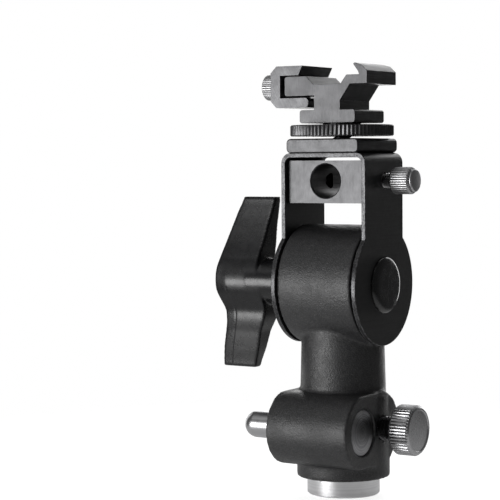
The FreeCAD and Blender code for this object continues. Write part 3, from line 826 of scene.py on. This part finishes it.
def block_screw(material):
    """Button head with a hexagon socket, on the lever's side of the yoke."""
    low, high = extent("block_screw")
    shoulder = extent("yoke_bracket")[0].x
    radius, thread, face = radius_of("block_screw"), 2.5, 1.2
    hexagon, hexagon_long = 1.75, 2.4
    crown = [(radius * math.cos(turn), shoulder + (low.x - shoulder) * math.sin(turn) ** 0.8)
             for turn in quarter_turn(8)[:-1]]
    outline = [(0, high.x), (thread, high.x), (thread, shoulder)] + crown + [(face, low.x), (0, low.x)]
    lay = axis_of("block_screw")
    socket = bmesh.new()
    bmesh.ops.create_cone(socket, cap_ends=True, segments=6, radius1=hexagon, radius2=hexagon,
                          depth=hexagon_long)
    socket.transform(lay @ Matrix.Translation((0, 0, low.x)))
    head = carved(turned(outline, lay), socket)
    finish_piece("block_button_screw", head, material, "block_screw", smooth=40)


def shoe_stud(material):
    """Countersunk head through the yoke's web and into the plate above, with the thread on top."""
    low, high = extent("shoe_stud")
    yoke_top, overlap = extent("yoke_bracket")[1].z, 0.5
    head, thread = (high.x - low.x) / 2, QUARTER_INCH[0]
    outline = [(0, low.z), (head, low.z), (thread, low.z + head - thread), (thread, yoke_top), (0, yoke_top)]
    cone = turned(outline, LAID_ALONG["Z"])
    bolt = threaded(QUARTER_INCH, yoke_top - overlap, high.z, LAID_ALONG["Z"])
    finish_piece("shoe_stud_threaded", join(cone, bolt), material, "shoe_stud")


# ---------------------------------------------------------------- build

def turned_about(node, name, *look, **marks):
    """Metal with tool marks round the X axis through a CAD node."""
    return turned_metal(name, "X", centre_of(node), *look, **marks)


def turned_upright(name, *look, **marks):
    """Metal with tool marks round the socket's own axis."""
    return turned_metal(name, "Z", (0, 0, 0), *look, **marks)


# Dark and light tone of each metal.
ALUMINIUM = ((0.8, 0.8, 0.81), (0.93, 0.93, 0.94))
DULL_ALUMINIUM = ((0.2, 0.2, 0.21), (0.5, 0.5, 0.51))
BRIGHT_STEEL = ((0.5, 0.5, 0.51), (0.72, 0.72, 0.73))
POLISHED_STEEL = ((0.5, 0.5, 0.51), (0.56, 0.56, 0.57))
SATIN_STEEL = ((0.42, 0.42, 0.43), (0.58, 0.58, 0.59))
GREY_STEEL = ((0.3, 0.3, 0.31), (0.5, 0.5, 0.5))
DARK_STEEL = ((0.05, 0.05, 0.053), (0.12, 0.12, 0.125))
BRASS = ((0.6, 0.43, 0.18), (0.75, 0.58, 0.28))

anodised = black_anodised("black_anodised")
ring_anodised = black_anodised("black_anodised_ring", lift=1.7)
jaw_anodised = black_anodised("black_anodised_jaw", streaks=1.4, slant=0.55, depth=0.08, lift=1.5)
bush_metal = turned_upright("bare_aluminium", ALUMINIUM, (0.3, 0.38), marks=4.0, depth=0.035)
plug_metal = turned_about("catch_plug", "plug_aluminium", DULL_ALUMINIUM, (0.36, 0.46), marks=3.0, depth=0.04)
pin_metal = turned_about("catch_plunger", "polished_steel", POLISHED_STEEL, (0.28, 0.34), marks=8.0,
                         depth=0.0006)
lock_metal = turned_about("lock_knob", "bright_steel_lock", SATIN_STEEL, (0.26, 0.32))
umbrella_metal = turned_about("umbrella_knob", "bright_steel_umbrella", BRIGHT_STEEL, (0.4, 0.48))
jaw_metal = turned_about("jaw_knob", "bright_steel_jaw", BRIGHT_STEEL, (0.42, 0.5))
pivot_metal = turned_about("pivot_bolt", "black_steel_pivot", DARK_STEEL, (0.3, 0.45))
lock_screw_metal = turned_about("lock_screw", "black_steel_lock", DARK_STEEL, (0.25, 0.4))
umbrella_screw_metal = turned_about("umbrella_screw", "steel_umbrella_screw", GREY_STEEL, (0.2, 0.35))
stud_metal = turned_upright("black_steel_stud", DARK_STEEL, (0.3, 0.45))
insert_metal = turned_about("lever_insert", "brass_insert", BRASS, (0.25, 0.4))
spring_metal = turned_about("catch_spring", "spring_steel", GREY_STEEL, (0.25, 0.4))

housing(cast_black())
socket_bush(bush_metal)
safety_catch(pin_metal, plug_metal)
stand_lock(lock_screw_metal, lock_metal)
tilt_joint(gloss_cap(), friction_fibre(), pivot_metal)
lever(black_nylon(), insert_metal)
machined("yoke_strip_bent", "yoke_bracket", black_strip(), width=0.22)
machined("umbrella_block_machined", "umbrella_block", anodised, width=0.22)
base_plate(anodised)
machined("ring_spacer", "ring_washer", stud_metal, width=0.1)
machined("shoe_rail_sawn", "shoe_body", anodised, width=0.14)
machined("clamp_jaw_sawn", "clamp_jaw", jaw_anodised, width=0.14)
block_screw(umbrella_screw_metal)
shoe_stud(stud_metal)
umbrella_lock(umbrella_screw_metal, umbrella_metal)
jaw_thumbscrew(jaw_metal)
lock_ring(ring_anodised)
catch_spring(spring_metal)


# ---------------------------------------------------------------- studio

def set_camera():
    """A long lens level with the yoke, to the right of the bracket's front and looking slightly down."""
    azimuth, look_down, roll = math.radians(32.56), math.radians(2.89), math.radians(-0.4)
    forward = Vector((-math.sin(azimuth) * math.cos(look_down), math.cos(azimuth) * math.cos(look_down),
                      -math.sin(look_down)))
    level = Vector((math.cos(azimuth), math.sin(azimuth), 0))
    upright = level.cross(forward)
    right = level * math.cos(roll) + upright * math.sin(roll)
    up = upright * math.cos(roll) - level * math.sin(roll)
    camera = bpy.data.objects.new("camera", bpy.data.cameras.new("camera"))
    camera.data.sensor_width = 36
    camera.data.lens = 127
    camera.data.clip_end = 20
    place = Vector((0.28958, -0.51072, 0.11103))
    camera.matrix_world = Matrix.Translation(place) @ Matrix((right, up, -forward)).transposed().to_4x4()
    bpy.context.scene.collection.objects.link(camera)
    bpy.context.scene.camera = camera


def by_ray(tree, other, camera):
    """One value for rays from the camera and another for all other rays."""
    seen = add_node(tree, "LightPath").outputs["Is Camera Ray"]
    return remap(tree, seen, 0.0, 1.0, other, camera)


def pale_floor():
    """Paper disc round the origin that fades out with distance."""
    mesh = bmesh.new()
    bmesh.ops.create_circle(mesh, cap_ends=True, segments=64, radius=1.2)
    data = bpy.data.meshes.new("floor")
    mesh.to_mesh(data)
    mesh.free()
    floor = bpy.data.objects.new("floor", data)
    bpy.context.scene.collection.objects.link(floor)
    paper = Finish("pale_floor", Base_Color=(0.86, 0.86, 0.86, 1), Roughness=0.8)
    away = add_node(paper.tree, "VectorMath", {"operation": "LENGTH"})
    feed(paper.tree, away.inputs[0], paper.spot)
    solid_to, gone_at = 0.06, 0.24
    alpha = remap(paper.tree, away.outputs["Value"], solid_to, gone_at, 1.0, 0.0)
    feed(paper.tree, paper.shader.inputs["Alpha"], alpha)
    paper.shader.inputs["Emission Color"].default_value = (1, 1, 1, 1)
    feed(paper.tree, paper.shader.inputs["Emission Strength"], by_ray(paper.tree, other=0.2, camera=0.8))
    data.materials.append(paper.material)


def white_surround():
    """White behind the bracket that lights it only dimly."""
    world = bpy.data.worlds.new("studio")
    bpy.context.scene.world = world
    world.use_nodes = True
    background = world.node_tree.nodes["Background"]
    feed(world.node_tree, background.inputs["Strength"], by_ray(world.node_tree, other=0.07, camera=1.0))
    background.inputs["Color"].default_value = (1, 1, 1, 1)


def softbox(name, azimuth, elevation, distance, width, height, radiance):
    """A panel that faces the bracket. Azimuth 0 is in front and 90 on the right, in degrees."""
    light = bpy.data.lights.new(name, "AREA")
    light.shape = "RECTANGLE"
    light.size, light.size_y = width, height
    light.energy = radiance * math.pi * width * height
    panel = bpy.data.objects.new(name, light)
    middle = (cad_box[0] + cad_box[1]) / 2
    turn, rise = math.radians(azimuth), math.radians(elevation)
    out = Vector((math.sin(turn) * math.cos(rise), -math.cos(turn) * math.cos(rise), math.sin(rise)))
    panel.location = middle + out * distance
    panel.rotation_euler = out.to_track_quat("Z", "Y").to_euler()
    panel.visible_camera = False
    bpy.context.scene.collection.objects.link(panel)


set_camera()
pale_floor()
white_surround()
bpy.context.scene.view_settings.view_transform = "Standard"
# Azimuth, elevation, distance, width, height, radiance.
softbox("key_left", -27, -4, 0.9, 0.46, 0.38, 9.0)
softbox("front_fill", -30, 58, 0.9, 0.6, 0.7, 0.6)
softbox("backdrop_right", 195, 12, 1.1, 0.95, 0.9, 2.2)
softbox("backdrop_left", 245, 6, 1.1, 0.5, 0.9, 1.2)
softbox("top", 190, 62, 0.9, 0.5, 0.5, 0.7)
